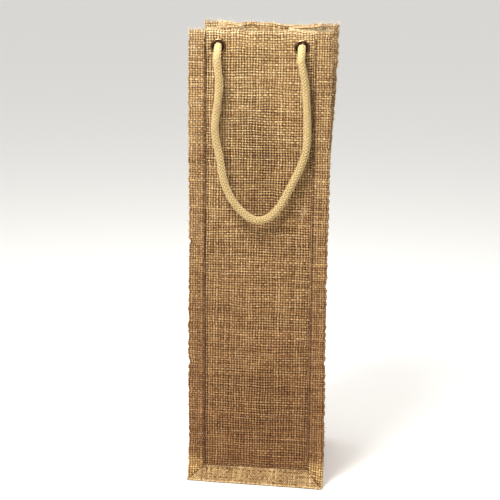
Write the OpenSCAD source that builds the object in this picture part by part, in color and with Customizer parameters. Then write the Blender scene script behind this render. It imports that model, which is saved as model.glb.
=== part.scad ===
// Tall open-topped gift bag for one bottle of wine, sewn from coarse jute cloth.
// Both faces have bound edges, two eyelets and a rope handle knotted on the inside.
// Millimetres. The bag stands on z = 0, its front faces -Y and its width runs along X.

/* [Bag] */
// Height of the bag, from the floor to the mouth
bag_h = 356; // [290:1:430]
// Clear width of the front and back panels, from seam to seam
panel_w = 82; // [68:1:110]
// Depth at the base, between the outer faces of the panels
base_d = 86; // [70:1:110]
// Depth at the mouth, between the outer faces of the panels
mouth_d = 82; // [66:1:110]
// Height of the base panel above the floor
base_z = 10; // [6:0.5:16]

/* [Cloth] */
// Thickness of one layer of jute cloth
cloth_t = 1.3; // [0.8:0.1:2]
// Cloth of the turned-in hem that is left below its sewn row
hem_edge = 1.25; // [0.5:0.25:8]

/* [Binding] */
// Width of the binding around the edges of each face
bind_w = 13; // [8:0.5:18]
// Thickness of the folded binding, front to back
bind_t = 4; // [3:0.1:6]
// How far the binding stands proud of the panel's outer face
bind_proud = 1.3; // [0.4:0.1:1.8]
// How far the base binding splays outwards where it meets the floor
splay = 8; // [3:0.5:12]
// Height up to which the side bindings ease out into the splay
splay_h = 40; // [25:1:70]

/* [Stitching] */
// Width of a sewn row of thread
thread_w = 0.9; // [0.5:0.1:1.4]
// Height of a sewn row above the cloth
thread_t = 0.5; // [0.3:0.1:0.8]
// Gap between a sewn row and the cloth under it
thread_gap = 0.15; // [0.15:0.05:0.4]
// Distance of the seam row from the inner edge of the binding
seam_in = 2; // [1:0.5:4]
// Gap between the hem row and the eyelets and bindings
row_gap = 0.35; // [0.2:0.05:3]

/* [Eyelets] */
// Cloth between the mouth and an eyelet's flange
eyelet_below = 6.5; // [3:0.5:12]
// Gap between the gusset and the knot or washer of an eyelet
eyelet_side = 0.3; // [0.2:0.1:8]
// Wall thickness of an eyelet's barrel
barrel_wall = 0.6; // [0.4:0.1:0.9]
// Width of an eyelet's flange outside its barrel, and of its washer
flange_w = 2; // [1.4:0.1:3]
// Height of the rounded flange above the cloth
flange_t = 1.1; // [0.7:0.1:1.4]
// Thickness of the washer inside the hem
washer_t = 0.8; // [0.5:0.1:1.2]
// Width and thickness of the curl that holds the washer
curl = 0.6; // [0.4:0.1:0.8]
// Radial clearance around an eyelet's barrel
barrel_clear = 0.1; // [0.05:0.05:0.2]

/* [Handles] */
// Diameter of the handle rope
rope_d = 6; // [4.5:0.1:7.5]
// Radial clearance of the rope in an eyelet
rope_clear = 0.4; // [0.2:0.1:1]
// Gap between the panel's face and the hanging rope
rope_off = 3; // [2:0.1:5]
// Gap between the swinging loop and the rope end in the eyelet
swing_gap = 0.3; // [0.3:0.1:0.6]
// Radius of a stopper knot inside the bag
knot_r = 6.6; // [5.5:0.1:9]
// Gap between a knot and its eyelet
knot_gap = 0.2; // [0.1:0.1:0.5]
// Length of rope that hangs below a knot
tail = 10; // [5:1:20]

/* [Hidden] */

jute = "#C59A62";
jute_light = "#D3AC74";
thread_brown = "#7B4A26";
bronze = "#3A2618";
cotton = "#E7D3A0";

smooth = 64;
rope_sides = 10;
ease_steps = 10;
lean = atan((base_d - mouth_d) / 2 / (bag_h - base_z));
layer_y = cloth_t / cos(lean);
seam_x = panel_w / 2;
rope_r = rope_d / 2;
hole_r = rope_r + rope_clear;
barrel_r = hole_r + barrel_wall;
flange_r = barrel_r + flange_w;
eyelet_x = seam_x - 2 * cloth_t - eyelet_side - max(flange_r, knot_r);
eyelet_z = bag_h - eyelet_below - flange_r;
row_z = eyelet_z - flange_r - row_gap - thread_w;
hem_z = row_z - hem_edge;
grip = 2 * cloth_t + washer_t;
swing_out = rope_off + rope_r;

// The hanging loop, as distance right of the middle and drop below the eyelets.
// It was laid out between eyelets that are 63 apart.
route_half = 31.5;
rope_route = [
  [-31.5, 0], [-31, 8], [-29.9, 18], [-29.7, 28], [-30.5, 38], [-31.8, 49], [-32.9, 60], [-31.7, 71],
  [-29.3, 82], [-27.6, 92], [-25.8, 101], [-22.4, 110], [-16.8, 119], [-10.8, 125.3], [-4.6, 129.5],
  [1.5, 130.6], [7.8, 128.6], [13.2, 124], [18.5, 117], [23.3, 107.5], [28, 98], [32.6, 88],
  [35.8, 78], [37, 66], [36.7, 52], [35.8, 38], [34.4, 24], [32.4, 10], [31.5, 0]
];

// Outer face of the front panel at height z; it leans in towards the mouth.
function wall_y(z) = -base_d / 2 + (z - base_z) * tan(lean);

// The same face, n layers of cloth further in.
function inner_y(z, n) = wall_y(z) + n * layer_y;

// Heights of the side binding's inner edge, from the mitred corner up.
function ease(i) = i / ease_steps;
function edge_z(i) = i > ease_steps ? bag_h : base_z + ease(i) * (splay_h - base_z);
function rim_z(i) = i > ease_steps ? bag_h : ease(i) * splay_h;
function rim_y(i) = wall_y(edge_z(i)) - bind_proud - (i > ease_steps ? 0 : splay * pow(1 - ease(i), 2));

// A point on the binding's front face: station i up the side, u across from the seam.
function bind_at(i, u) =
  let (seam_y = wall_y(edge_z(i)) - bind_proud)
  [seam_x + u * bind_w, seam_y + u * (rim_y(i) - seam_y), edge_z(i) + u * (rim_z(i) - edge_z(i))];

function flip_x(p, side) = [side * p[0], p[1], p[2]];

// Four corners of a strip on the binding, from u0 to u1 across and from y0 to y1 behind its face.
function bind_ring(i, side, u0, u1, y0, y1) = [
  flip_x(bind_at(i, u0), side) + [0, y0, 0], flip_x(bind_at(i, u1), side) + [0, y0, 0],
  flip_x(bind_at(i, u1), side) + [0, y1, 0], flip_x(bind_at(i, u0), side) + [0, y1, 0]
];

// A solid skinned over rings that all have the same number of points.
module loft(rings) {
  m = len(rings[0]);
  last = len(rings) - 1;
  polyhedron(
    points = [for (ring = rings) each ring],
    faces = [
      [for (j = [0:m - 1]) j],
      [for (j = [m - 1:-1:0]) last * m + j],
      for (i = [0:last - 1], j = [0:m - 1])
        let (a = i * m + j, b = i * m + (j + 1) % m)
        each [[a, a + m, b], [b, a + m, b + m]]
    ]
  );
}

// Extrudes an outline given in Y and Z along X, centred on the bag's middle.
module along_x(w, outline) {
  translate([-w / 2, 0, 0]) rotate([90, 0, 90]) linear_extrude(w) polygon(outline);
}

// Draws its children on the back face instead of the front one.
module on_back() {
  mirror([0, 1, 0]) children();
}

// Puts an axis through an eyelet of the front panel, pointing out of the bag.
module at_eyelet(side) {
  translate([side * eyelet_x, wall_y(eyelet_z), eyelet_z]) rotate([90 - lean, 0, 0]) children();
}

module panel() {
  color(jute) difference() {
    along_x(panel_w, [
      [wall_y(base_z), base_z], [wall_y(bag_h), bag_h],
      [inner_y(bag_h, 2), bag_h], [inner_y(hem_z, 2), hem_z],
      [inner_y(hem_z, 1), hem_z], [inner_y(base_z, 1), base_z]
    ]);
    for (side = [-1, 1])
      at_eyelet(side) cylinder(h = 6 * grip, r = barrel_r + barrel_clear, center = true, $fn = smooth);
  }
}

// One layer of the gusset from z0 to z1, its outer face at x, between n layers of each panel.
module gusset_layer(x, z0, z1, n) {
  translate([x - cloth_t / 2, 0, 0]) along_x(cloth_t, [
    [inner_y(z0, n), z0], [inner_y(z1, n), z1], [-inner_y(z1, n), z1], [-inner_y(z0, n), z0]
  ]);
}

module right_gusset() {
  color(jute) union() {
    gusset_layer(seam_x, base_z, hem_z, 1);
    gusset_layer(seam_x, hem_z, bag_h, 2);
    gusset_layer(seam_x - cloth_t, hem_z, bag_h, 2);
  }
}

module left_gusset() {
  mirror([1, 0, 0]) right_gusset();
}

module base_panel() {
  color(jute) along_x(panel_w - 2 * cloth_t, [
    [inner_y(base_z, 1), base_z], [inner_y(base_z + cloth_t, 1), base_z + cloth_t],
    [-inner_y(base_z + cloth_t, 1), base_z + cloth_t], [-inner_y(base_z, 1), base_z]
  ]);
}

module side_binding(side) {
  color(jute_light) mirror([side < 0 ? 1 : 0, 0, 0])
    loft([for (i = [0:ease_steps + 1]) bind_ring(i, 1, 0, 1, 0, bind_t)]);
}

module base_binding() {
  color(jute_light) loft([for (side = [-1, 1]) bind_ring(0, side, 0, 1, 0, bind_t)]);
}

module seam_thread() {
  u0 = seam_in / bind_w;
  u1 = (seam_in + thread_w) / bind_w;
  y0 = -thread_gap;
  y1 = -thread_gap - thread_t;
  color(thread_brown) loft([
    for (i = [ease_steps + 1:-1:0]) bind_ring(i, -1, u1, u0, y0, y1),
    for (i = [0:ease_steps + 1]) bind_ring(i, 1, u1, u0, y0, y1)
  ]);
}

module hem_thread() {
  z0 = row_z;
  z1 = row_z + thread_w;
  start_y = wall_y(row_z) - bind_proud + bind_t + row_gap;
  color(thread_brown) {
    for (face = [0, 1]) mirror([0, face, 0]) translate([0, -thread_gap, 0])
      along_x(panel_w, [
        [wall_y(z0), z0], [wall_y(z1), z1], [wall_y(z1) - thread_t, z1], [wall_y(z0) - thread_t, z0]
      ]);
    for (face = [0, 1]) mirror([face, 0, 0])
      translate([seam_x + thread_gap, start_y, z0]) cube([thread_t, -2 * start_y, thread_w]);
  }
}

module eyelet(side) {
  dome_r = (flange_r - hole_r) / 2;
  color(bronze) at_eyelet(side) rotate_extrude($fn = smooth) polygon([
    [barrel_r, 0],
    for (a = [0:15:180]) [hole_r + dome_r + dome_r * cos(a), flange_t * sin(a)],
    [hole_r, -grip - curl], [barrel_r + curl, -grip - curl], [barrel_r + curl, -grip], [barrel_r, -grip]
  ]);
}

module washer(side) {
  color(bronze) at_eyelet(side) translate([0, 0, -grip]) difference() {
    cylinder(h = washer_t, r = flange_r, $fn = smooth);
    translate([0, 0, -washer_t])
      cylinder(h = 3 * washer_t, r = barrel_r + barrel_clear, $fn = smooth);
  }
}

// Rope end held in an eyelet: the short length in the hole, the stopper knot and its tail.
module knot(side) {
  knot_y = grip + curl + knot_gap + knot_r;
  stub = rope_off - swing_gap;
  color(cotton) translate([side * eyelet_x, wall_y(eyelet_z), eyelet_z]) union() {
    translate([0, -stub, 0]) rotate([-90, 0, 0]) cylinder(h = stub + knot_y, r = rope_r, $fn = smooth);
    translate([0, knot_y, 0]) sphere(r = knot_r, $fn = smooth);
    translate([0, knot_y, -knot_r - tail]) cylinder(h = knot_r + tail, r = rope_r, $fn = smooth);
  }
}

// The free loop of a handle, hanging parallel to its panel.
module rope() {
  spread = eyelet_x / route_half;
  path = [
    for (p = rope_route)
      let (z = eyelet_z - p[1])
      [p[0] * spread, wall_y(z) - swing_out, z]
  ];
  last = len(path) - 1;
  color(cotton) loft([
    for (i = [0:last])
      let (
        ahead = path[min(i + 1, last)] - path[max(i - 1, 0)],
        end = i == 0 || i == last,
        along = end ? [0, 0, ahead[2] / abs(ahead[2])] : ahead / norm(ahead),
        across = cross(along, [0, 1, 0])
      )
      [for (j = [0:rope_sides - 1])
        let (a = j * 360 / rope_sides)
        path[i] + rope_r * (cos(a) * across + sin(a) * [0, 1, 0])]
  ]);
}

panel();  // front_panel
on_back() panel();  // back_panel
left_gusset();
right_gusset();
base_panel();
side_binding(-1);  // front_left_binding
side_binding(1);  // front_right_binding
base_binding();  // front_base_binding
on_back() side_binding(-1);  // back_left_binding
on_back() side_binding(1);  // back_right_binding
on_back() base_binding();  // back_base_binding
seam_thread();  // front_seam_thread
on_back() seam_thread();  // back_seam_thread
hem_thread();
eyelet(-1);  // front_left_eyelet
eyelet(1);  // front_right_eyelet
on_back() eyelet(-1);  // back_left_eyelet
on_back() eyelet(1);  // back_right_eyelet
washer(-1);  // front_left_washer
washer(1);  // front_right_washer
on_back() washer(-1);  // back_left_washer
on_back() washer(1);  // back_right_washer
knot(-1);  // front_left_knot
knot(1);  // front_right_knot
on_back() knot(-1);  // back_left_knot
on_back() knot(1);  // back_right_knot
rope();  // front_rope
on_back() rope();  // back_rope
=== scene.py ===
import math
import time

import bpy
import numpy as np
from mathutils import Matrix, Vector


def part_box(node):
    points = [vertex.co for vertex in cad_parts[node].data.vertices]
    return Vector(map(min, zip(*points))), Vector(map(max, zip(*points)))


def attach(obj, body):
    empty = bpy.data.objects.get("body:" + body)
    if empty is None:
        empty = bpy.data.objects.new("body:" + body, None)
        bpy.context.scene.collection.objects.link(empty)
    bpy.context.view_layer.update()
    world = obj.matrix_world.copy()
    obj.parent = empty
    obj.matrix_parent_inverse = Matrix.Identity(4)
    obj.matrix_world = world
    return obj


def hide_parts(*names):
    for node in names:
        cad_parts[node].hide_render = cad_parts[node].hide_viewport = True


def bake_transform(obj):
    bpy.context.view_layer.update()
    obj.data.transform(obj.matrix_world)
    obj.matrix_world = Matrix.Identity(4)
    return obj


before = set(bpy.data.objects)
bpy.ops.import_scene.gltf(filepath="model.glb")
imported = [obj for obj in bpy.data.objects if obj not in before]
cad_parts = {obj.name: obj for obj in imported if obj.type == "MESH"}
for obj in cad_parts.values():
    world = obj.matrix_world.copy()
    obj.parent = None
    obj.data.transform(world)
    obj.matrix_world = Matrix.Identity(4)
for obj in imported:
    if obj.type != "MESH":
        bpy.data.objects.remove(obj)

started = time.time()
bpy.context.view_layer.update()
mm = 0.001


def stage(text):
    print(f"{text}: {time.time() - started:.1f} s")


# places and sizes, read from the frame
panelLow, panelHigh = (Vector(p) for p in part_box("front_panel"))
bindHigh = Vector(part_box("front_right_binding")[1])

cloth = {
    "thickness": 1.3 * mm,  # one layer
    "warpPitch": 2.1 * mm,  # about 12 threads to the inch
    "weftPitch": 1.95 * mm,
    "yarnWidth": 1.22 * mm,
    "yarnThickness": 0.8 * mm,
    "crimp": 0.3 * mm,  # how far a yarn swings to each side
    "uneven": 0.05,  # each yarn off its place, in pitches
    "drift": 0.15,  # all the yarns of a patch off their place, in pitches
    "shade": 0.28,  # painted light and shade: how much lighter the crests of the yarns are painted than the dips
    "hem": 21 * mm,
    "foldRadius": 0.9 * mm,
}
yarn = {
    "each": 0.07,  # one yarn thicker or thinner than the next
    "along": 0.07,  # thicker and thinner along itself
    "grain": 0.04,
    "slubEvery": 700,  # crossings
    "slub": (0.12, 0.4),  # how much thicker a slub is
    "slubLong": (2, 8),
    "thinnest": 0.66,
    "thickest": 1.45,
    "tintEach": 0.05,
    "tintAlong": 0.07,
    "tintGrain": 0.06,
}
seamX = panelHigh.x
baseZ = panelLow.z
mouthZ = panelHigh.z
baseHalf = -panelLow.y
mouthHalf = -panelHigh.y + 2 * cloth["thickness"]
tanLean = (baseHalf - mouthHalf) / (mouthZ - baseZ)
bindWidth = bindHigh.x - seamX


def wallY(z):
    return -baseHalf + (z - baseZ) * tanLean  # outer face of the front panel


# where the picture is taken from, in metres, degrees and millimetres of lens
view = {
    "eye": (0.1220, -1.1429, 0.4539),
    "yaw": -6.635,
    "pitch": 13.49,
    "roll": 0.501,
    "lens": 106.6,
}


def addCamera():
    data = bpy.data.cameras.new("camera")
    data.sensor_width = 36
    data.lens = view["lens"]
    data.clip_start = 0.05
    cam = bpy.data.objects.new("camera", data)
    bpy.context.scene.collection.objects.link(cam)
    yaw, pitch, roll = (math.radians(view[k]) for k in ("yaw", "pitch", "roll"))
    look = Vector((math.sin(yaw) * math.cos(pitch), math.cos(yaw) * math.cos(pitch), -math.sin(pitch)))
    right = Vector((math.cos(yaw), -math.sin(yaw), 0))
    up = right.cross(look)
    side = right * math.cos(roll) + up * math.sin(roll)
    top = up * math.cos(roll) - right * math.sin(roll)
    turn = Matrix((side, top, -look)).transposed()
    cam.matrix_world = Matrix.Translation(view["eye"]) @ turn.to_4x4()
    bpy.context.scene.camera = cam


addCamera()


def newObject(name, mesh, material):
    mesh.materials.append(material)
    obj = bpy.data.objects.new(name, mesh)
    bpy.context.scene.collection.objects.link(obj)
    return obj


def unit(v):
    return v / np.maximum(np.linalg.norm(v, axis=-1, keepdims=True), 1e-12)


# first and last ring of every unbroken run of kept rings
def runs(keep):
    joined = keep[:, :-1] & keep[:, 1:]
    before = np.zeros_like(keep)
    before[:, 1:] = joined
    after = np.zeros_like(keep)
    after[:, :-1] = joined
    return joined, np.nonzero(after & ~before), np.nonzero(before & ~after)


# one mesh of many tubes: a line, two directions and two half widths for each. Tint goes to the material
def tubeMesh(name, centre, side, up, halfWidth, halfThick, tint, keep=None, sides=6, columns=1):
    count, rings = centre.shape[:2]
    angle = np.arange(sides) * 2 * np.pi / sides
    across = halfWidth[..., None, None] * np.cos(angle)[:, None] * side[:, :, None, :]
    upward = halfThick[..., None, None] * np.sin(angle)[:, None] * up[:, :, None, :]
    points = (centre[:, :, None, :] + across + upward).reshape(-1, 3)
    if keep is None:
        keep = np.ones((count, rings), bool)
    joined, (ys, rs), (ye, re) = runs(keep)
    y, r = np.nonzero(joined)
    k = np.arange(sides)
    k1 = (k + 1) % sides
    ring0 = ((y * rings + r) * sides)[:, None]
    ring1 = ring0 + sides
    quads = np.stack([ring0 + k, ring0 + k1, ring1 + k1, ring1 + k], -1).reshape(-1, 4)
    caps0 = ((ys * rings + rs) * sides)[:, None] + k[::-1]
    caps1 = ((ye * rings + re) * sides)[:, None] + k
    perColumn = math.ceil(count / columns)

    def uvAt(yy, rr, kk):  # one strip of the map for each yarn, in columns
        u = (yy // perColumn + 0.01 + 0.98 * rr / (rings - 1)) / columns
        v = (yy % perColumn + 0.04 + 0.92 * kk / sides) / perColumn
        return np.stack(np.broadcast_arrays(u, v), -1)

    y, r, k = y[:, None], r[:, None], k[None]
    quadUv = np.stack([uvAt(y, r, k), uvAt(y, r, k + 1), uvAt(y, r + 1, k + 1), uvAt(y, r + 1, k)], 2)
    capUv = [uvAt(ys[:, None], rs[:, None], k[:, ::-1]), uvAt(ye[:, None], re[:, None], k)]
    loops = np.concatenate([quads.ravel(), caps0.ravel(), caps1.ravel()])
    used = np.zeros(len(points), bool)
    used[loops] = True
    renumber = np.cumsum(used) - 1
    corners = np.concatenate([np.full(len(quads), 4), np.full(len(caps0) + len(caps1), sides)])
    mesh = bpy.data.meshes.new(name)
    mesh.vertices.add(int(used.sum()))
    mesh.vertices.foreach_set("co", points[used].astype(np.float32).ravel())
    mesh.loops.add(len(loops))
    mesh.loops.foreach_set("vertex_index", renumber[loops].astype(np.int32))
    mesh.polygons.add(len(corners))
    starts = np.concatenate([[0], np.cumsum(corners)[:-1]])
    mesh.polygons.foreach_set("loop_start", starts.astype(np.int32))
    mesh.update(calc_edges=True)
    mesh.polygons.foreach_set("use_smooth", np.ones(len(corners), bool))
    flat = np.concatenate([quadUv.reshape(-1, 2)] + [c.reshape(-1, 2) for c in capUv])
    mesh.uv_layers.new(name="OFBake").data.foreach_set("uv", flat.astype(np.float32).ravel())
    shade = mesh.attributes.new("tint", "FLOAT", "POINT")
    shade.data.foreach_set("value", np.repeat(tint.ravel(), sides)[used].astype(np.float32))
    return mesh


# soft random values, one new draw every few places along each axis
def smoothNoise(rng, shape, step):
    grid = rng.normal(0, 1, [math.ceil(n / s) + 3 for n, s in zip(shape, step)])
    for axis, (n, s) in enumerate(zip(shape, step)):
        t = np.arange(n) / s
        i = np.floor(t).astype(int)
        f = t - i
        f = (f * f * (3 - 2 * f)).reshape([-1 if k == axis else 1 for k in range(len(shape))])
        a = np.take(grid, i, axis)
        grid = a + (np.take(grid, i + 1, axis) - a) * f
    return grid


# Catmull-Rom line through the points, with even steps along it
def spline(points, step):
    p = np.asarray(points, float)
    p = np.vstack([2 * p[0] - p[1], p, 2 * p[-1] - p[-2]])
    t = np.linspace(0, 1, 24, endpoint=False)[:, None]
    a, b, c, d = (p[i:len(p) - 3 + i, None, :] for i in range(4))
    square, cube = 2 * a - 5 * b + 4 * c - d, 3 * b - a - 3 * c + d
    line = 0.5 * (2 * b + (c - a) * t + square * t ** 2 + cube * t ** 3)
    line = np.vstack([line.reshape(-1, 3), p[-2]])
    far = np.concatenate([[0], np.cumsum(np.linalg.norm(np.diff(line, axis=0), axis=1))])
    at = np.linspace(0, far[-1], max(3, round(far[-1] / step) + 1))
    return np.stack([np.interp(at, far, line[:, i]) for i in range(3)], -1), at


# two directions across the line, carried along it without twist
def carried(line):
    run = unit(np.gradient(line, axis=0))
    first = np.array([1.0, 0.2, 0.1])
    sides = np.empty_like(line)
    for i, t in enumerate(run):
        first = first - t * (first @ t)
        first = first / np.linalg.norm(first)
        sides[i] = first
    return run, sides, np.cross(run, sides)


rope = {
    "diameter": 6 * mm,
    "strands": 8,  # each way round
    "pitch": 20 * mm,  # one strand's full turn
    "strandWidth": 1.4 * mm,
    "strandThickness": 0.95 * mm,
    "depth": 0.32 * mm,  # how far a strand dives under the others
    "inset": 0.02 * mm,
    "core": 0.72,  # share of the rope's radius
    "paleEnd": 16 * mm,  # the core is as pale as the strands this far from each end
    "tintEach": 0.03,
    "tintAlong": 0.05,
    "tintLift": 0.3,  # a strand on top catches more light
    "bend": 12 * mm,
    "leaves": math.radians(10),  # the bend's first angle, inside the eyelet
    "crosses": math.asin(0.5),  # the bend's angle at the face of the cloth
    "off": 6 * mm,  # from the cloth to the middle of the rope
    "heart": 2.8 * mm,
    "heartFixed": (2 * mm, 11 * mm),  # along the rope
    "heartLoop": (5.4 * mm, 19 * mm),
    "heartRings": 25,
    "heartTint": 0.75,  # near the paler ends of the ramp, like the strands round it
    "step": 0.75 * mm,
    "route": [  # mm to the right of the middle, and below the eyelets
        (-29.7, 28), (-30.5, 38), (-31.8, 49), (-32.9, 60), (-31.7, 71), (-29.3, 82), (-27.6, 92),
        (-25.8, 101), (-22.4, 110), (-16.8, 119), (-10.8, 125.3), (-4.6, 129.5), (1.5, 130.6), (7.8, 128.6),
        (13.2, 124), (18.5, 117), (23.3, 107.5), (28, 98), (32.6, 88), (35.8, 78), (37, 66), (36.7, 52),
        (35.8, 38), (34.4, 24)],
}
eyeletLow, eyeletHigh = (Vector(p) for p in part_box("front_right_eyelet"))
eyeX = (eyeletLow.x + eyeletHigh.x) / 2
eyeZ = (eyeletLow.z + eyeletHigh.z) / 2


# a rope of crossing strands round a line, with its core
def braid(name, line, radius, material, seed):
    rng = np.random.default_rng(seed)
    run, sideways, upright = carried(line)
    far = np.concatenate([[0], np.cumsum(np.linalg.norm(np.diff(line, axis=0), axis=1))])
    count = rope["strands"]
    c = 2 * count * far / rope["pitch"]
    radius = np.broadcast_to(radius, far.shape)
    full = rope["diameter"] / 2
    middle = radius - rope["strandThickness"] / 2 * radius / full - rope["inset"]
    centre, across, outward, widths, thicks, tints = [], [], [], [], [], []
    for way in (1, -1):
        for k in range(count):
            phase = c + 2 * k if way > 0 else 2 * k - c
            lift = np.clip(math.sqrt(2) * np.cos(np.pi / 2 * phase - np.pi / 4), -1, 1) * way
            angle = 2 * np.pi * k / count + way * 2 * np.pi * far / rope["pitch"]
            out = np.cos(angle)[:, None] * sideways + np.sin(angle)[:, None] * upright
            place = line + out * (middle + rope["depth"] * (lift - 0.6) * radius / full)[:, None]
            along = unit(np.gradient(place, axis=0))
            centre.append(place)
            across.append(unit(np.cross(along, out)))
            outward.append(out)
            uneven = 1 + 0.04 * smoothNoise(rng, (len(far),), (9,))
            widths.append(rope["strandWidth"] / 2 * radius / full * uneven)
            thicks.append(rope["strandThickness"] / 2 * radius / full)
            tint = 0.5 + rope["tintEach"] * rng.normal()
            tint = tint + rope["tintAlong"] * smoothNoise(rng, (len(far),), (12,)) + rope["tintLift"] * lift
            tints.append(tint)
    core = np.repeat((radius * rope["core"])[None], 2, 0)
    coreShadeTint = 0.5 * (np.minimum(far, far[-1] - far) < rope["paleEnd"])  # painted shade: the core is dark under the braid
    strands = tubeMesh(name, *(np.array(v) for v in (centre, across, outward, widths, thicks)),
                       np.clip(np.array(tints), 0, 1), None, 6, 2)
    heart = tubeMesh(name + "_core", line[None], sideways[None], upright[None], core[:1], core[1:],
                     coreShadeTint[None], None, 10)
    piece = newObject(name, strands, material)
    inner = newObject(name + "_core", heart, material)
    joinObjects(piece, [inner])
    return piece


def joinObjects(target, others):
    bpy.ops.object.select_all(action="DESELECT")
    for o in [target] + others:
        o.select_set(True)
    bpy.context.view_layer.objects.active = target
    bpy.ops.object.join()


# out of one eyelet, down in a loop and into the other
def handleLine(face):
    bend, start = rope["bend"], rope["crosses"]
    ends = []
    for a in np.linspace(rope["leaves"], math.pi / 2, 9):
        ends.append((-bend * (math.sin(a) - math.sin(start)), -bend * (math.cos(start) - math.cos(a))))
    points = [(-eyeX, wallY(eyeZ) + y, eyeZ + z) for y, z in ends]
    scale = eyeX / (31.5 * mm)  # the route was chosen for eyelets this far from the middle
    for x, drop in rope["route"]:
        z = eyeZ - drop * mm
        points.append((x * mm * scale, wallY(z) - rope["off"], z))
    points += [(eyeX, wallY(eyeZ) + y, eyeZ + z) for y, z in reversed(ends)]
    line, far = spline([(x, y * face, z) for x, y, z in points], rope["step"])
    return line, far[-1]


knot = {
    "behind": 10.8 * mm,  # its middle, behind the face of the cloth
    "entry": [(0, -7.2, 0.6), (0, -5.0, 0.4), (0, 0, 0.0), (0, 2.4, 0.2)],  # mm from its middle
    "turns": 1.45,
    "steps": 12,
    "coil": 4.1,  # mm, radius of its turns
    "from": 4.3,  # mm, where its turns begin
    "long": 8.0,
    "tail": [(3.4, -4.2, -6.0), (2.0, -3.2, -9.5), (0.8, -1.8, -13), (0.2, -0.6, -16.3)],
    "share": [0, 0.06, 0.12, 0.2, 0.72, 0.82, 1],
    "radius": [3.0, 2.9, 2.2, 2.35, 2.4, 2.9, 3.05],  # mm, squeezed where it is pulled tight
}


# in through the eyelet, back round itself and down to the cut end
def knotLine(side, face):
    middle = wallY(eyeZ) + knot["behind"]
    points = list(knot["entry"])
    for i in range(knot["steps"] + 1):
        turn = math.pi / 2 + i * 2 * math.pi * knot["turns"] / knot["steps"]
        coil = knot["coil"] * min(1, 0.45 + i * 0.3)
        along = knot["from"] - knot["long"] * i / knot["steps"]
        points.append((coil * math.cos(turn), along, coil * math.sin(turn)))
    points += knot["tail"]
    line, far = spline([(side * (eyeX + x * mm), (middle + y * mm) * face, eyeZ + z * mm)
                        for x, y, z in points], rope["step"])
    radius = np.interp(far / far[-1], knot["share"], knot["radius"]) * mm
    return line, radius


# real yarns over and under each other on a surface. Gives the warp piece and the weft piece
def weave(name, surface, width, length, material, seed, keep=None, spec=cloth, thin=None):
    rng = np.random.default_rng(seed)
    nWarp = max(2, round(width / spec["warpPitch"]))
    nWeft = max(2, round(length / spec["weftPitch"]))
    warpAt = np.arange(-1, nWarp + 1) + 0.5 + np.clip(rng.normal(0, spec["uneven"], nWarp + 2), -0.2, 0.2)
    weftAt = np.arange(-1, nWeft + 1) + 0.5 + np.clip(rng.normal(0, spec["uneven"], nWeft + 2), -0.2, 0.2)
    grid = (2 * nWarp + 3, 2 * nWeft + 3)  # two places for each yarn, in both directions
    driftU = spec["drift"] * (0.7 * smoothNoise(rng, grid, (9, 14)) + 0.4 * smoothNoise(rng, grid, (4, 5)))
    driftV = spec["drift"] * (1.0 * smoothNoise(rng, grid, (16, 10)) + 0.4 * smoothNoise(rng, grid, (5, 4)))

    def at(p, q):  # p and q count yarns from the first edge
        i = np.clip(np.rint(2 * p).astype(int) + 1, 0, 2 * nWarp + 2)
        j = np.clip(np.rint(2 * q).astype(int) + 1, 0, 2 * nWeft + 2)
        u = np.interp(p, np.arange(-1, nWarp + 1) + 0.5, warpAt) + driftU[i, j]
        v = np.interp(q, np.arange(-1, nWeft + 1) + 0.5, weftAt) + driftV[i, j]
        return u * width / nWarp, v * length / nWeft

    def yarns(count, crossings, warp):
        rings = 2 * crossings + 1
        a = np.repeat((np.arange(count) + 0.5)[:, None], rings, 1)
        b = np.repeat(np.arange(rings)[None] / 2.0, count, 0)
        p, q = (a, b) if warp else (b, a)
        u, v = at(p, q)
        near = 0.2 * mm  # a small step each way gives the cloth's slope
        base = surface(u, v)
        normal = unit(np.cross(surface(u + near, v) - base, surface(u, v + near) - base))
        wave = np.cos(np.pi * (p + q - 1)) * (1 if warp else -1)
        centre = base + normal * (spec["crimp"] * wave)[..., None]
        run = unit(np.gradient(centre, axis=1))
        side = unit(np.cross(run, normal))
        up = unit(np.cross(side, run))
        size = 1 + yarn["each"] * rng.normal(0, 1, (count, 1))
        size = size + yarn["along"] * smoothNoise(rng, (count, rings), (1, 7))
        size = size + yarn["grain"] * rng.normal(0, 1, (count, rings))
        for _ in range(int(count * rings / yarn["slubEvery"])):  # slubs, the thick places of a jute yarn
            y, c, w = rng.integers(count), rng.integers(rings), rng.uniform(*yarn["slubLong"])
            size[y] += rng.uniform(*yarn["slub"]) * np.exp(-((np.arange(rings) - c) / w) ** 2)
        size = np.clip(size, yarn["thinnest"], yarn["thickest"])
        if thin is not None:
            size = size * thin(u, v)
        tint = 0.5 + yarn["tintEach"] * rng.normal(0, 1, (count, 1))
        tint = tint + yarn["tintAlong"] * smoothNoise(rng, (count, rings), (1, 9))
        # painted light on each yarn's crests and painted shade in its dips
        tint = tint + yarn["tintGrain"] * rng.normal(0, 1, (count, rings)) + spec["shade"] * wave
        kept = None if keep is None else keep(u, v)
        reach = length if warp else width
        columns = max(1, round(math.sqrt(count * 4.2 * mm / reach)))  # keeps the piece's map near square
        mesh = tubeMesh(name + ("_warp" if warp else "_weft"), centre, side, up,
                        spec["yarnWidth"] / 2 * size, spec["yarnThickness"] / 2 * np.sqrt(size),
                        np.clip(tint, 0, 1), kept, 6, columns)
        return newObject(mesh.name, mesh, material)

    return yarns(nWarp, nWeft, True), yarns(nWeft, nWarp, False)


def toLinear(hexCode):
    parts = [int(hexCode[i:i + 2], 16) / 255 for i in (1, 3, 5)]
    return [c / 12.92 if c <= 0.04045 else ((c + 0.055) / 1.055) ** 2.4 for c in parts] + [1.0]


def addNode(tree, kind, settings=None, links=None, **attributes):
    node = tree.nodes.new(kind)
    for key, value in attributes.items():
        setattr(node, key, value)
    for key, value in (settings or {}).items():
        node.inputs[key].default_value = value
    for key, source in (links or {}).items():
        tree.links.new(source, node.inputs[key])
    return node


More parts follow.
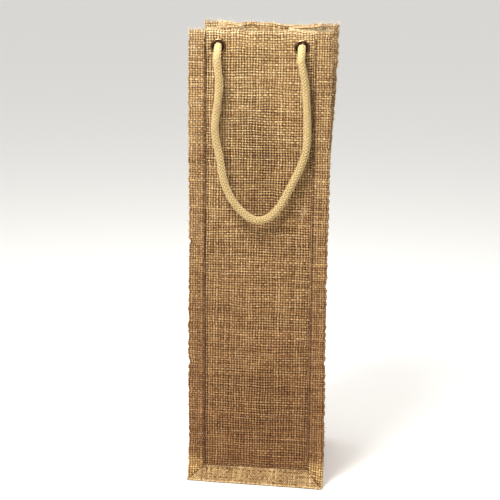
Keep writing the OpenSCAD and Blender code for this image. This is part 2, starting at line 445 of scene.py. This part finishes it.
def newMaterial(name):
    material = bpy.data.materials.new(name)
    material.use_nodes = True
    tree = material.node_tree
    tree.nodes.clear()
    return material, tree


juteFinish = {
    "dark": "#4E2E14",
    "mid": "#967448",
    "light": "#DAC496",
    "roughness": 0.9,
    "toe": 0.0,
    "foot": 0.67,  # painted shade: the cloth is painted darker and browner towards the foot, where less light reaches
}
fibreTone = {
    "fibre": 0.9 / mm,  # noise scale, for fibres about 1.1 mm long
    "fibreMix": 0.45,
    "darkAt": 0.1,
    "lightAt": 0.95,
    "bump": 0.3 * mm,
    "cloud": 0.022 / mm,  # noise scale, for patches about 45 mm across
    "cloudLift": 90 * mm,
    "fade": (50 * mm, 375 * mm),  # height over which the foot's painted shade fades out
    "greenFade": 1.65,
    "blueFade": 2.1,
    "toe": (23 * mm, 13 * mm),  # painted light: the bindings' feet splay up towards the lamps and are painted paler below this
    "toeLightGain": (1.3, 1.27, 1.12, 1),
    "rim": (mouthZ - 8.5 * mm, mouthZ - 1.5 * mm),  # painted light: the rim of the mouth, lit from above, is painted paler above this
    "rimLightGain": (1.2, 1.3, 1.5, 1),
}


# painted shade, browner and darker to the foot; painted light, paler on the bindings' feet and on the rim of
# the mouth
def shadedByHeight(tree, coordinates, colour, finish):
    place = addNode(tree, "ShaderNodeSeparateXYZ", None, {0: coordinates.outputs["Object"]})
    cloud = addNode(tree, "ShaderNodeTexNoise", {"Scale": fibreTone["cloud"], "Detail": 2.0},
                    {"Vector": coordinates.outputs["Object"]})
    height = addNode(tree, "ShaderNodeMath", {1: fibreTone["cloudLift"]},
                     {0: cloud.outputs["Fac"], 2: place.outputs["Z"]}, operation="MULTIPLY_ADD")
    low, high = fibreTone["fade"]
    fade = addNode(tree, "ShaderNodeMapRange",
                   {"From Min": low, "From Max": high, "To Min": finish["foot"], "To Max": 1.0},
                   {"Value": height.outputs[0]})
    green = addNode(tree, "ShaderNodeMath", {1: fibreTone["greenFade"]}, {0: fade.outputs[0]},
                    operation="POWER")
    blue = addNode(tree, "ShaderNodeMath", {1: fibreTone["blueFade"]}, {0: fade.outputs[0]},
                   operation="POWER")
    gain = addNode(tree, "ShaderNodeCombineColor", None,
                   {"Red": fade.outputs[0], "Green": green.outputs[0], "Blue": blue.outputs[0]})
    low, high = fibreTone["toe"]
    toe = addNode(tree, "ShaderNodeMapRange", {"From Min": low, "From Max": high, "To Max": finish["toe"]},
                  {"Value": place.outputs["Z"]})
    lit = addNode(tree, "ShaderNodeMix", {7: fibreTone["toeLightGain"]}, {0: toe.outputs[0], 6: gain.outputs[0]},
                  data_type="RGBA")
    low, high = fibreTone["rim"]
    rim = addNode(tree, "ShaderNodeMapRange", {"From Min": low, "From Max": high},
                  {"Value": place.outputs["Z"]})
    lit = addNode(tree, "ShaderNodeMix", {7: fibreTone["rimLightGain"]}, {0: rim.outputs[0], 6: lit.outputs[2]},
                  data_type="RGBA")
    shade = addNode(tree, "ShaderNodeMix", {0: 1.0}, {6: colour, 7: lit.outputs[2]},
                    data_type="RGBA", blend_type="MULTIPLY")
    return shade.outputs[2]


# dry matt plant fibre: each yarn has its own tint, with painted light on its crests and painted shade in its
# dips, and fine hairs that catch the light
def juteMaterial(name, finish):
    material, tree = newMaterial(name)
    tint = addNode(tree, "ShaderNodeAttribute", attribute_name="tint")
    coordinates = addNode(tree, "ShaderNodeTexCoord")
    fibre = addNode(tree, "ShaderNodeTexNoise",
                    {"Scale": fibreTone["fibre"], "Detail": 3.0, "Roughness": 0.7},
                    {"Vector": coordinates.outputs["Object"]})
    blend = addNode(tree, "ShaderNodeMath", {1: fibreTone["fibreMix"]},
                    {0: fibre.outputs["Fac"], 2: tint.outputs["Fac"]}, operation="MULTIPLY_ADD")
    shifted = addNode(tree, "ShaderNodeMath", {1: fibreTone["fibreMix"] / 2}, {0: blend.outputs[0]},
                      operation="SUBTRACT")
    ramp = addNode(tree, "ShaderNodeValToRGB", None, {"Fac": shifted.outputs[0]})
    ramp.color_ramp.elements[0].position = fibreTone["darkAt"]
    ramp.color_ramp.elements[0].color = toLinear(finish["dark"])
    ramp.color_ramp.elements[1].position = fibreTone["lightAt"]
    ramp.color_ramp.elements[1].color = toLinear(finish["light"])
    middle = ramp.color_ramp.elements.new(0.5)
    middle.color = toLinear(finish["mid"])
    colour = ramp.outputs["Color"]
    # painted shade and painted light, by height
    if finish.get("foot", 1) < 1:
        colour = shadedByHeight(tree, coordinates, colour, finish)
    bump = addNode(tree, "ShaderNodeBump", {"Strength": 0.5, "Distance": fibreTone["bump"]},
                   {"Height": fibre.outputs["Fac"]})
    shader = addNode(tree, "ShaderNodeBsdfPrincipled",
                     {"Roughness": finish["roughness"], "Specular IOR Level": 0.25, "Sheen Weight": 0.2,
                      "Sheen Roughness": 0.5},
                     {"Base Color": colour, "Normal": bump.outputs["Normal"]})
    addNode(tree, "ShaderNodeOutputMaterial", None, {"Surface": shader.outputs[0]})
    return material


# the side tapes carry the painted light on their feet
bindingFinish = dict(juteFinish, light="#D2B98C", mid="#8C6C43", toe=1.0)
# painted light: the base tape's colours, paler because it faces up to the lamps
litEdgeFinish = dict(juteFinish, light="#FBE9C2", mid="#CBAA78", dark="#5E3C1A", foot=1)
cottonFinish = {"dark": "#6E5026", "mid": "#B69E6C", "light": "#C8B48A", "roughness": 0.85}
seamThreadShadeFinish = {"dark": "#42220A", "mid": "#623A16", "light": "#82562A", "roughness": 0.6}
hemFinish = {"dark": "#86683C", "mid": "#A2845A", "light": "#B89E74", "roughness": 0.8}
juteCloth = juteMaterial("jute hessian, plain woven", juteFinish)  # open, so it is speckled dark
juteBinding = juteMaterial("jute binding tape, folded", bindingFinish)  # two layers, so it is an even tan
juteEdgeLit = juteMaterial("jute binding tape, close woven, painted paler as lit", litEdgeFinish)  # painted light: its colours are painted paler than the side tapes', as it faces up to the lamps
cotton = juteMaterial("cotton cord, braided", cottonFinish)  # soft cream; the dark end of its ramp is painted shade, on the core between the strands and on strands that dive under
seamThreadAndShade = juteMaterial("polyester thread, dark tan", seamThreadShadeFinish)  # a real thread, painted dark so that it also stands for the shade in the seam's crease: a thin dark line at the seams
hemThread = juteMaterial("cotton thread, natural", hemFinish)  # hardly seen against the cloth


bronzeFinish = {
    "dark": "#38261A",
    "light": "#7A6048",
    "rimHighlight": "#8E7459",
    "roughness": 0.2,
    "wear": 0.35 / mm,  # noise scale, for patches about 3 mm across
    "rim": (4.7 * mm, 5.5 * mm),  # painted highlight: the rim is painted lighter, standing for the bright line of light on it
}


# polished and plated: dark brown, with a painted highlight, a lighter colour, on its rolled rim
def bronzeMaterial():
    material, tree = newMaterial("brass, antique bronze plated")
    coordinates = addNode(tree, "ShaderNodeTexCoord")
    wear = addNode(tree, "ShaderNodeTexNoise", {"Scale": bronzeFinish["wear"], "Detail": 4.0},
                   {"Vector": coordinates.outputs["Object"]})
    ramp = addNode(tree, "ShaderNodeValToRGB", None, {"Fac": wear.outputs["Fac"]})
    ramp.color_ramp.elements[0].position = 0.35
    ramp.color_ramp.elements[0].color = toLinear(bronzeFinish["dark"])
    ramp.color_ramp.elements[1].position = 0.7
    ramp.color_ramp.elements[1].color = toLinear(bronzeFinish["light"])
    place = addNode(tree, "ShaderNodeSeparateXYZ", None, {0: coordinates.outputs["Object"]})
    aside = addNode(tree, "ShaderNodeMath", None, {0: place.outputs["X"]}, operation="ABSOLUTE")
    flat = addNode(tree, "ShaderNodeCombineXYZ", None, {"X": aside.outputs[0], "Z": place.outputs["Z"]})
    reach = addNode(tree, "ShaderNodeVectorMath", {1: (eyeX, 0, eyeZ)}, {0: flat.outputs[0]},
                    operation="DISTANCE")
    low, high = bronzeFinish["rim"]
    rim = addNode(tree, "ShaderNodeMapRange", {"From Min": low, "From Max": high},
                  {"Value": reach.outputs["Value"]})
    # painted highlight on the rim
    rimHighlight = addNode(tree, "ShaderNodeMix", {7: toLinear(bronzeFinish["rimHighlight"])},
                     {0: rim.outputs[0], 6: ramp.outputs["Color"]}, data_type="RGBA")
    shader = addNode(tree, "ShaderNodeBsdfPrincipled",
                     {"Metallic": 1.0, "Roughness": bronzeFinish["roughness"]},
                     {"Base Color": rimHighlight.outputs[2]})
    addNode(tree, "ShaderNodeOutputMaterial", None, {"Surface": shader.outputs[0]})
    return material


bronze = bronzeMaterial()
for face in ("front", "back"):
    for hand in ("left", "right"):
        for kind in ("eyelet", "washer"):
            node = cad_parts[f"{face}_{hand}_{kind}"]
            node.data.materials.clear()
            node.data.materials.append(bronze)


# a solid heart inside the rope, which fills the neck while the handle stands up
def addHeart(name, line, first, last, body):
    far = np.concatenate([[0], np.cumsum(np.linalg.norm(np.diff(line, axis=0), axis=1))])
    rings = rope["heartRings"]
    at = first + (last - first) * (1 - np.cos(np.linspace(0, math.pi, rings))) / 2  # closer at the noses
    centre = np.stack([np.interp(at, far, line[:, i]) for i in range(3)], -1)
    _, sideways, upright = carried(centre)
    nose = np.clip(np.minimum(at - first, last - at) / rope["heart"], 0.002, 1)
    radius = (rope["heart"] * np.sqrt(1 - (1 - nose) ** 2))[None]
    tint = np.full((1, rings), rope["heartTint"])
    mesh = tubeMesh(name, centre[None], sideways[None], upright[None], radius, radius, tint, None, 16)
    heart = newObject(name, mesh, cotton)
    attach(heart, body)


def makeHandle(name, face, seed):
    faceWord = name[:-7]
    line, length = handleLine(face)
    piece = braid(name + "_braid", line, rope["diameter"] / 2, cotton, seed)
    for side, word in ((-1, "left"), (1, "right")):
        knotPath, radius = knotLine(side, face)
        stopper = braid(f"{faceWord}_{word}_knot_braid", knotPath, radius, cotton, seed + side)
        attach(stopper, "bag")
        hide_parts(f"{faceWord}_{word}_knot")
    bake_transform(piece)
    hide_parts(faceWord + "_rope")
    print(name, "length", round(length, 4))
    for inward, word in ((line, "left"), (line[::-1], "right")):
        addHeart(f"{faceWord}_{word}_heart_fixed", inward, *rope["heartFixed"], "bag")
        addHeart(f"{faceWord}_{word}_heart_loop", inward, *rope["heartLoop"], name)


makeHandle("front_handle", 1, 5)
makeHandle("back_handle", -1, 6)
stage("rope handles")


closeCloth = dict(cloth, yarnWidth=1.92 * mm, shade=0.16)  # for the panels that stand behind
panel = {
    "waveAcross": (-18, 18),  # waves to the metre
    "waveUp": (6, 40),
    "wave": 0.6 * mm,
    "hollow": (-1.6 * mm, 0.25, 0.2),  # size, height and reach, as shares of the bag's height
    "belly": (2.2 * mm, 0.70, 0.2),
    "lip": 0.35 * mm,
    "lipWaves": (12, 75),  # to the metre
    "lipLow": 0.4 * mm,
    "lipReach": 30 * mm,
    "backLow": 1.5 * mm,
    "hole": 4.3 * mm,  # hidden by the flange of the eyelet
    "open": [  # where the front's weave is more open: height, reach across and up, share of the yarn lost
        (266 * mm, 15 * mm, 40 * mm, 0.26),
        (50 * mm, 30 * mm, 45 * mm, 0.10),
    ],
}


# how high and how far behind the face a strip lies that folds back at the top
def foldOver(v, straight, radius):
    turn = np.clip((v - straight) / radius, 0, np.pi)
    down = np.maximum(v - straight - np.pi * radius, 0)
    return np.minimum(v, straight) + radius * np.sin(turn) - down, radius * (1 - np.cos(turn))


# gentle waves in a cloth, from a few sines in random directions
def waves(x, z, seed, size, count=6):
    rng = np.random.default_rng(seed)
    total = 0
    for _ in range(count):
        fx = rng.uniform(*panel["waveAcross"])
        fz = rng.uniform(*panel["waveUp"])
        phase = rng.uniform(0, 6.28)
        total = total + size / math.sqrt(count) * np.sin(2 * np.pi * (fx * x + fz * z) + phase)
    return total


# how far a panel's middle lies behind a straight one
def panelSag(x, z, seed):
    across = np.cos(np.pi / 2 * np.clip(x / seamX, -1, 1)) ** 2
    h = np.clip((z - baseZ) / (mouthZ - baseZ), 0, 1)
    bulge = 0
    for size, at, reach in (panel["hollow"], panel["belly"]):
        bulge = bulge + size * np.exp(-((h - at) / reach) ** 2)
    return (bulge + waves(x, z, seed, panel["wave"])) * across * np.clip(h * 8, 0, 1)


straightUp = mouthZ - baseZ - cloth["thickness"] / 2 - cloth["foldRadius"]
clothLength = straightUp + np.pi * cloth["foldRadius"] + cloth["hem"]


# the hem's fold isn't quite straight
def lip(x, z, seed, face=1):
    rng = np.random.default_rng(seed)
    total = 0
    for _ in range(4):
        turns = x * rng.uniform(*panel["lipWaves"]) + rng.uniform()
        total = total + panel["lip"] * np.sin(2 * np.pi * turns)
    if face < 0:  # the back one hangs lower on its right
        total = total - panel["backLow"] * np.clip((66 * mm - x) / (40 * mm), 0, 1)
    return (total - panel["lipLow"]) * np.clip((z - mouthZ + panel["lipReach"]) / panel["lipReach"], 0, 1)


# a panel from its foot up, over the mouth and down inside as a hem
def panelSurface(face, seed):
    def at(u, v):
        rise, behind = foldOver(v, straightUp, cloth["foldRadius"])
        z = baseZ + rise
        z = z + lip(u, z, seed, face)
        x = (u - seamX) * face
        y = wallY(z) + cloth["thickness"] / 2 + behind + panelSag(x, z, seed)
        return np.stack([x, y * face, z], -1)
    return at


def clearOfEyelets(u, v):
    rise, _ = foldOver(v, straightUp, cloth["foldRadius"])
    return np.hypot(np.abs(u - seamX) - eyeX, baseZ + rise - eyeZ) > panel["hole"]


# share of the full yarn that is left where the cloth is worn
def worn(u, v):
    left = 1
    for up, wide, tall, lost in panel["open"]:
        left = left - lost * np.exp(-((u - seamX) / wide) ** 2 - ((v + baseZ - up) / tall) ** 2)
    return left


# both yarn pieces ride with the bag
def addCloth(name, pieces, node):
    for piece in pieces:
        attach(piece, "bag")
    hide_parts(node)


def makePanel(name, face, seed):
    pieces = weave(name, panelSurface(face, seed), 2 * seamX, clothLength, juteCloth, seed, clearOfEyelets,
                   cloth if face > 0 else closeCloth, worn if face > 0 else None)
    addCloth(name, pieces, name)


makePanel("front_panel", 1, 11)
makePanel("back_panel", -1, 12)
stage("panels")

gusset = {
    "tuck": 20.5 * mm,  # how far the mouth of a gusset is pressed in
    "reach": 215 * mm,  # how far down the tuck runs
    "ripple": 0.8 * mm,
}


# a gusset from panel to panel, with the tuck that lets the bag fold flat
def gussetSurface(side, seed):
    def at(u, v):
        rise, behind = foldOver(v, straightUp, cloth["foldRadius"])
        z = baseZ + rise
        deep = -wallY(z) - cloth["thickness"]
        t = u / (2 * baseHalf) * 2 - 1  # -1 at one panel, 1 at the other
        y = t * deep * side
        h = np.clip((z - mouthZ + gusset["reach"]) / gusset["reach"], 0, 1)
        tuck = gusset["tuck"] * h ** 2 * (3 - 2 * h) * np.cos(np.pi / 2 * np.clip(t, -1, 1)) ** 4
        ripple = waves(t * 0.04, z, seed, gusset["ripple"]) * np.cos(np.pi / 2 * np.clip(t, -1, 1)) ** 2
        x = seamX - tuck - behind - ripple * np.clip((z - baseZ) / (30 * mm), 0, 1)
        z = z - (panel["backLow"] if side > 0 else 0) * h
        return np.stack([x * side, y, z], -1)
    return at


def makeGusset(name, side, seed):
    width = 2 * (baseHalf - cloth["thickness"])
    surface = gussetSurface(side, seed)
    pieces = weave(name, lambda u, v: surface(u * baseHalf * 2 / width, v), width, clothLength, juteCloth,
                   seed, None, closeCloth)
    addCloth(name, pieces, name)


makeGusset("left_gusset", -1, 21)
makeGusset("right_gusset", 1, 22)


base = {
    "clear": 0.4 * mm,  # narrower than the panels
    "sag": 3 * mm,
    "wave": 0.5 * mm,
}


def makeBase(seed):
    width, length = 2 * seamX - base["clear"], 2 * (baseHalf - cloth["thickness"] / 2)

    def at(u, v):
        x, y = u - width / 2, v - length / 2
        middle = np.cos(np.pi * x / width) * np.cos(np.pi * y / length)
        z = baseZ + cloth["thickness"] / 2 - base["sag"] * middle + waves(x, y, seed, base["wave"]) * middle
        return np.stack([x, y, z], -1)

    pieces = weave("base_panel", at, width, length, juteCloth, seed, None, closeCloth)
    addCloth("base_panel", pieces, "base_panel")


makeBase(31)
stage("gussets and base")


binding = dict(cloth, warpPitch=1.86 * mm, weftPitch=1.8 * mm, yarnWidth=1.34 * mm, yarnThickness=0.82 * mm,
               crimp=0.32 * mm, uneven=0.04, drift=0.10, shade=0.3)
baseTape = dict(binding, yarnWidth=1.5 * mm)
tape = {
    "proud": 1.3 * mm,  # how far it stands in front of the panel
    "fold": 1.35 * mm,  # radius of its folded edge
    "inset": 0.3 * mm,
    "trim": 0.45 * mm,
    "halfLayer": 0.62 * mm,
    "splay": 8 * mm,  # how far its foot stands out
    "splayTop": 40 * mm,
    "splayRight": 5.5 * mm,  # more on the front's right
    "wave": 0.35 * mm,
    "sway": (0.4 * mm, 3, 6),  # the edge's long wave, to the metre
    "ripple": (0.11 * mm, 30, 210),
    "nip": (0.5, 1.3),  # mm
    "nipLong": 2.2 * mm,
    "backLow": 1.1 * mm,
    "sweep": math.radians(66),  # how far the rear side flanges droop back
    "sweepReach": 140 * mm,
    "cut": 1.15 * mm,  # a side tape ends this far above the floor
    "mitre": 1.2 * mm,  # how far it runs in under the base tape
    "footWave": 0.3 * mm,
    "foot": 0.86 * mm,  # the base tape's lowest middle line, so that its yarns lie on the floor
    "overlap": 0.35 * mm,
}
bindRadius, bindProud = tape["fold"], tape["proud"]
bindFlat = bindWidth - bindRadius - tape["trim"]


# how far a binding's foot stands out; the front one stands out further on its right
def splayAt(x, face):
    share = np.clip(0.5 + 0.5 * x / (seamX + bindWidth), 0, 1) if face > 0 else 0
    return tape["splay"] + tape["splayRight"] * share


# front face of a side binding, s across from the seam; it eases out at the foot
def bindFace(s, z, side, face):
    share = np.clip(s / bindWidth, 0, 1.1)
    rise = tape["splayTop"] - baseZ
    e = np.clip((z - baseZ + baseZ * share) / (rise + baseZ * share), 0, 1)
    edgeZ = np.where(e < 1, baseZ + e * rise, z)
    return wallY(edgeZ) - bindProud - share * splayAt(side * (seamX + bindWidth), face) * (1 - e) ** 2


# across a folded tape: how far out it lies, and how far behind its front layer
def wrapRound(u, flat, radius):
    turn = np.clip((u - flat) / radius, 0, np.pi)
    back = np.maximum(u - flat - np.pi * radius, 0)
    return np.minimum(u, flat) + radius * np.sin(turn) - back, radius * (1 - np.cos(turn))


# the folded edge is never quite straight
def edgeWave(v, seed):
    rng = np.random.default_rng(seed)
    size, fewest, most = tape["sway"]
    total = size * np.sin(2 * np.pi * (v * rng.uniform(fewest, most) + rng.uniform()))
    size, fewest, most = tape["ripple"]
    for _ in range(9):
        total = total + size * np.sin(2 * np.pi * (v * rng.uniform(fewest, most) + rng.uniform()))
    for _ in range(7):  # notches where the fold is nipped
        deep = rng.uniform(*tape["nip"]) * mm
        total = total - deep * np.exp(-((v - rng.uniform(0, mouthZ)) / tape["nipLong"]) ** 2)
    return total


# the rear side flanges droop back from the mouth down
def swept(x, y, z, face):
    if face > 0:
        return x, y
    fall = np.clip((mouthZ - z) / tape["sweepReach"], 0, 1)
    angle = tape["sweep"] * fall ** 0.8
    out = np.maximum(np.abs(x) - seamX, 0)
    bent = np.where(out > 0, seamX + out * np.cos(angle), np.abs(x)) * np.sign(x)
    return bent, y - out * np.sin(angle)


# a side tape from the seam out, round its fold and back
def bindSurface(side, face, seed):
    def at(u, v):
        s, behind = wrapRound(u - tape["inset"], bindFlat, bindRadius)
        share = np.clip(s / bindWidth, 0, 1)
        edge = edgeWave(v, seed) * share ** 1.5
        y = bindFace(s, v, side, face) + tape["halfLayer"] + behind
        y = y + waves(s, v, seed + 1, tape["wave"]) * share
        x, y = swept((seamX + s + edge) * side, y, v, face)
        z = v * (1 - tape["backLow"] / mouthZ) if face < 0 < side else v
        return np.stack([x, y * face, z + 0 * s], -1)
    return at


def makeSideBinding(name, side, face, seed):
    width = 2 * bindFlat + np.pi * bindRadius + tape["inset"]
    surface = bindSurface(side, face, seed)
    flip = side * face < 0

    def at(u, v):
        return surface(width - u if flip else u, v)

    def keep(u, v):
        s, _ = wrapRound((width - u if flip else u) - tape["inset"], bindFlat, bindRadius)
        return v > np.maximum(baseZ * (1 - s / bindWidth) - tape["mitre"], tape["cut"])

    pieces = weave(name, at, width, mouthZ - 0.5 * mm, juteBinding, seed, keep, binding)
    addCloth(name, pieces, name)


# the tape along the foot slopes out from the seam to the floor, and is mitred at its ends
def makeBaseBinding(name, face, seed):
    slope = math.hypot(tape["splay"], baseZ)
    flat = slope - bindRadius - 0.2 * mm
    width = 2 * flat + np.pi * bindRadius
    length = 2 * (seamX + bindWidth)
    topY = wallY(baseZ) - bindProud
    flip = face < 0

    def place(u, v):
        s, behind = wrapRound(width - u if flip else u, flat, bindRadius)
        x = v - length / 2
        share = s / slope
        y = topY - splayAt(-x * face, face) * share + 0.2 * mm + behind
        y = y + waves(s, v, seed, tape["footWave"])
        z = np.maximum(baseZ * (1 - share) + 0.3 * mm, tape["foot"])
        x, y = swept(x * -face, y, z, face)
        return np.stack([x, y * face, z], -1), s

    def at(u, v):
        return place(u, v)[0]

    def keep(u, v):
        s, _ = wrapRound(width - u if flip else u, flat, bindRadius)
        return np.abs(v - length / 2) < seamX + bindWidth * s / slope + tape["overlap"]

    pieces = weave(name, at, width, length, juteEdgeLit, seed, keep, baseTape)
    addCloth(name, pieces, name)


for face, word in ((1, "front"), (-1, "back")):
    for side, hand in ((-1, "left"), (1, "right")):
        makeSideBinding(f"{word}_{hand}_binding", side, face, 41 + 2 * side + face)
    makeBaseBinding(word + "_base_binding", face, 51 + face)
stage("bindings")


stitch = {
    "length": 3.9 * mm,
    "pitch": 4.2 * mm,
    "radius": 0.38 * mm,
    "in": 0.8 * mm,
}


# short thread bars along a line, each end dipping into the cloth
def stitchRow(points, out):
    line, far = spline(points, stitch["pitch"] / 12)
    count = int(far[-1] / stitch["pitch"])
    share = stitch["length"] / stitch["pitch"]
    spread = np.linspace(0.5 - share / 2, 0.5 + share / 2, 7)  # seven rings to a stitch
    at = (np.arange(count)[:, None] + spread[None]) * stitch["pitch"]
    centre = np.stack([np.interp(at, far, line[:, i]) for i in range(3)], -1)
    bow = 1 - np.linspace(-1, 1, 7) ** 4
    out = np.asarray(out, float)
    centre = centre + out * ((0.55 * bow - 0.45) * mm)[None, :, None]
    run = unit(np.gradient(centre, axis=1))
    side = unit(np.cross(run, out))
    return centre, side, unit(np.cross(side, run))


def addStitches(name, rows, node, thread):
    centre, side, up = (np.concatenate(v) for v in zip(*rows))
    radius = np.full(centre.shape[:2], stitch["radius"])
    tint = np.random.default_rng(7).uniform(0.3, 0.7, centre.shape[:2])
    piece = newObject(name, tubeMesh(name, centre, side, up, radius, radius, tint, None, 6, 3), thread)
    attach(piece, "bag")
    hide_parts(node)


for face, word in ((1, "front"), (-1, "back")):
    rows = []
    for side in (-1, 1):
        z = np.linspace(baseZ, mouthZ - 2 * mm, 60)
        x = np.full_like(z, (seamX + stitch["in"]) * side)
        x, y = swept(x, bindFace(np.full_like(z, stitch["in"]), z, side, face), z, face)
        rows.append(stitchRow(np.stack([x, y * face, z], -1), (0, -face, 0)))
    x = np.linspace(-seamX, seamX, 12)
    y = (wallY(baseZ) - bindProud - 0.3 * mm - 0.13 * splayAt(x, face) + 0 * x) * face
    rows.append(stitchRow(np.stack([x, y, np.full_like(x, baseZ - 1.3 * mm)], -1), (0, -face * 0.8, 0.6)))
    for side in (-1, 1):  # along the mitres
        s = np.linspace(0.8 * mm, bindWidth - 1 * mm, 12)
        z = baseZ * (1 - s / bindWidth) + 0.5 * mm
        x, y = swept((seamX + s) * side, bindFace(s, z, side, face) - 0.15 * mm, z, face)
        rows.append(stitchRow(np.stack([x, y * face, z], -1), (0, -face * 0.8, 0.6)))
    addStitches(word + "_seam_stitches", rows, word + "_seam_thread", seamThreadAndShade)

hemLow, hemHigh = (Vector(p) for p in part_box("hem_thread"))
rows = []
for face in (1, -1):
    x = np.linspace(-seamX + 1 * mm, seamX - 1 * mm, 40)
    z = np.full_like(x, (hemLow.z + hemHigh.z) / 2)
    y = (wallY(z) + panelSag(x * face, z, 11 if face > 0 else 12)) * face
    rows.append(stitchRow(np.stack([x, y, z], -1), (0, -face, 0)))
addStitches("hem_stitches", rows, "hem_thread", hemThread)
stage("stitches")


fibre = {
    "radius": 0.09 * mm,
    "shortest": 1.0 * mm,
    "longest": 3.6 * mm,
    "stray": 0.55,  # how far a hair leans off straight out
    "curl": 0.45,
    "rim": 420,  # along each hem
    "face": 320,  # over each face
    "edge": 260,  # along each side binding
    "end": 60,  # on top of each side binding
    "gusset": 340,  # along each gusset's hem
}


# thin bent hairs that stand out of the cloth
def addFibres(name, places, directions, seed):
    rng = np.random.default_rng(seed)
    count = len(places)
    direction = unit(directions + rng.normal(0, fibre["stray"], (count, 3)))
    curl = rng.normal(0, fibre["curl"], (count, 3))
    t = np.linspace(0, 1, 5)[None, :, None]
    size = rng.uniform(fibre["shortest"], fibre["longest"], (count, 1, 1))
    size = size * rng.uniform(0.4, 1, (count, 1, 1))
    centre = places[:, None] + size * (direction[:, None] * (t - 0.15) + curl[:, None] * t ** 2)
    run = unit(np.gradient(centre, axis=1))
    side = unit(np.cross(run, np.array([0.31, 0.52, 0.8])))
    radius = fibre["radius"] * (1 - 0.6 * t[..., 0]) * rng.uniform(0.7, 1.3, (count, 1))
    tint = np.clip(0.85 + 0.15 * rng.normal(0, 1, (count, 1)) + 0 * t[..., 0], 0, 1)
    columns = max(1, round(math.sqrt(count / 4)))
    mesh = tubeMesh(name, centre, side, np.cross(side, run), radius, radius, tint, None, 3, columns)
    piece = newObject(name, mesh, juteCloth)
    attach(piece, "bag")


# where the hairs stand on a surface, and which way they point
def strewn(surface, u, v, out):
    place = surface(u, v)
    return place, np.broadcast_to(np.asarray(out, float), place.shape)


rng = np.random.default_rng(77)
strewnSets = []
for face in (1, -1):
    surface = panelSurface(face, 11 if face > 0 else 12)
    count = fibre["rim"]
    top = straightUp + np.pi / 2 * cloth["foldRadius"]
    strewnSets.append(strewn(surface, rng.uniform(0, 2 * seamX, count), np.full(count, top), (0, 0, 1)))
    count = fibre["face"]
    across = rng.uniform(0, 2 * seamX, count)
    strewnSets.append(strewn(surface, across, rng.uniform(0, straightUp, count), (0, -face, 0)))
    for side in (-1, 1):
        surface = bindSurface(side, face, 41 + 2 * side + face)
        edge = bindWidth - bindRadius + np.pi / 2 * bindRadius - 0.15 * mm
        count = fibre["edge"]
        v = rng.uniform(4 * mm, mouthZ, count)
        strewnSets.append(strewn(surface, np.full(count, edge), v, (side, -0.4 * face, 0.1)))
        count = fibre["end"]
        strewnSets.append(strewn(surface, rng.uniform(0, edge, count), np.full(count, mouthZ), (0, 0, 1)))
for side in (-1, 1):
    surface = gussetSurface(side, 21 if side < 0 else 22)
    count = fibre["gusset"]
    u = rng.uniform(3 * mm, 2 * baseHalf - 3 * mm, count)
    strewnSets.append(strewn(surface, u, np.full(count, top), (0, 0, 1)))
places, directions = (np.concatenate(v) for v in zip(*strewnSets))
addFibres("loose_fibres", places, directions, 78)
stage("fibres")


studio = {
    "floor": "#F4F2EE",
    "floorSize": 30,
    "sky": "#FFFFFF",
    "skyStrength": 0.8,
    "gamma": 0.85,
    "lamps": [  # name, place, aim, size and power in watts
        ("key", (-0.2, -0.42, 0.84), (0, 0, 0.27), 0.3, 6.5),
        ("top", (0.05, 0.05, 1.0), (0, 0, 0.3), 0.3, 3.4),
        ("fill", (-0.9, -1.3, 1.1), (0, 0, 0.25), 0.8, 4),
    ],
}


def addStage():
    bpy.ops.mesh.primitive_plane_add(size=studio["floorSize"], location=(0, 0, 0))
    floor = bpy.context.object
    floor.name = "floor"
    material, tree = newMaterial("studio paper")
    shader = addNode(tree, "ShaderNodeBsdfPrincipled",
                     {"Base Color": toLinear(studio["floor"]), "Roughness": 0.9})
    addNode(tree, "ShaderNodeOutputMaterial", None, {"Surface": shader.outputs[0]})
    floor.data.materials.append(material)


def addLight(name, place, aim, size, power):
    data = bpy.data.lights.new(name, "AREA")
    data.shape = "DISK"
    data.size = size
    data.energy = power
    lamp = bpy.data.objects.new(name, data)
    bpy.context.scene.collection.objects.link(lamp)
    lamp.location = place
    lamp.rotation_euler = (Vector(aim) - Vector(place)).to_track_quat("-Z", "Y").to_euler()


def addWorld():
    world = bpy.data.worlds.new("studio")
    bpy.context.scene.world = world
    world.use_nodes = True
    sky = world.node_tree.nodes["Background"]
    sky.inputs["Color"].default_value = toLinear(studio["sky"])
    sky.inputs["Strength"].default_value = studio["skyStrength"]


addStage()
addWorld()
for lamp in studio["lamps"]:
    addLight(*lamp)
bpy.context.scene.view_settings.view_transform = "Standard"
bpy.context.scene.view_settings.gamma = studio["gamma"]

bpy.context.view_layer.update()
stage("scene")
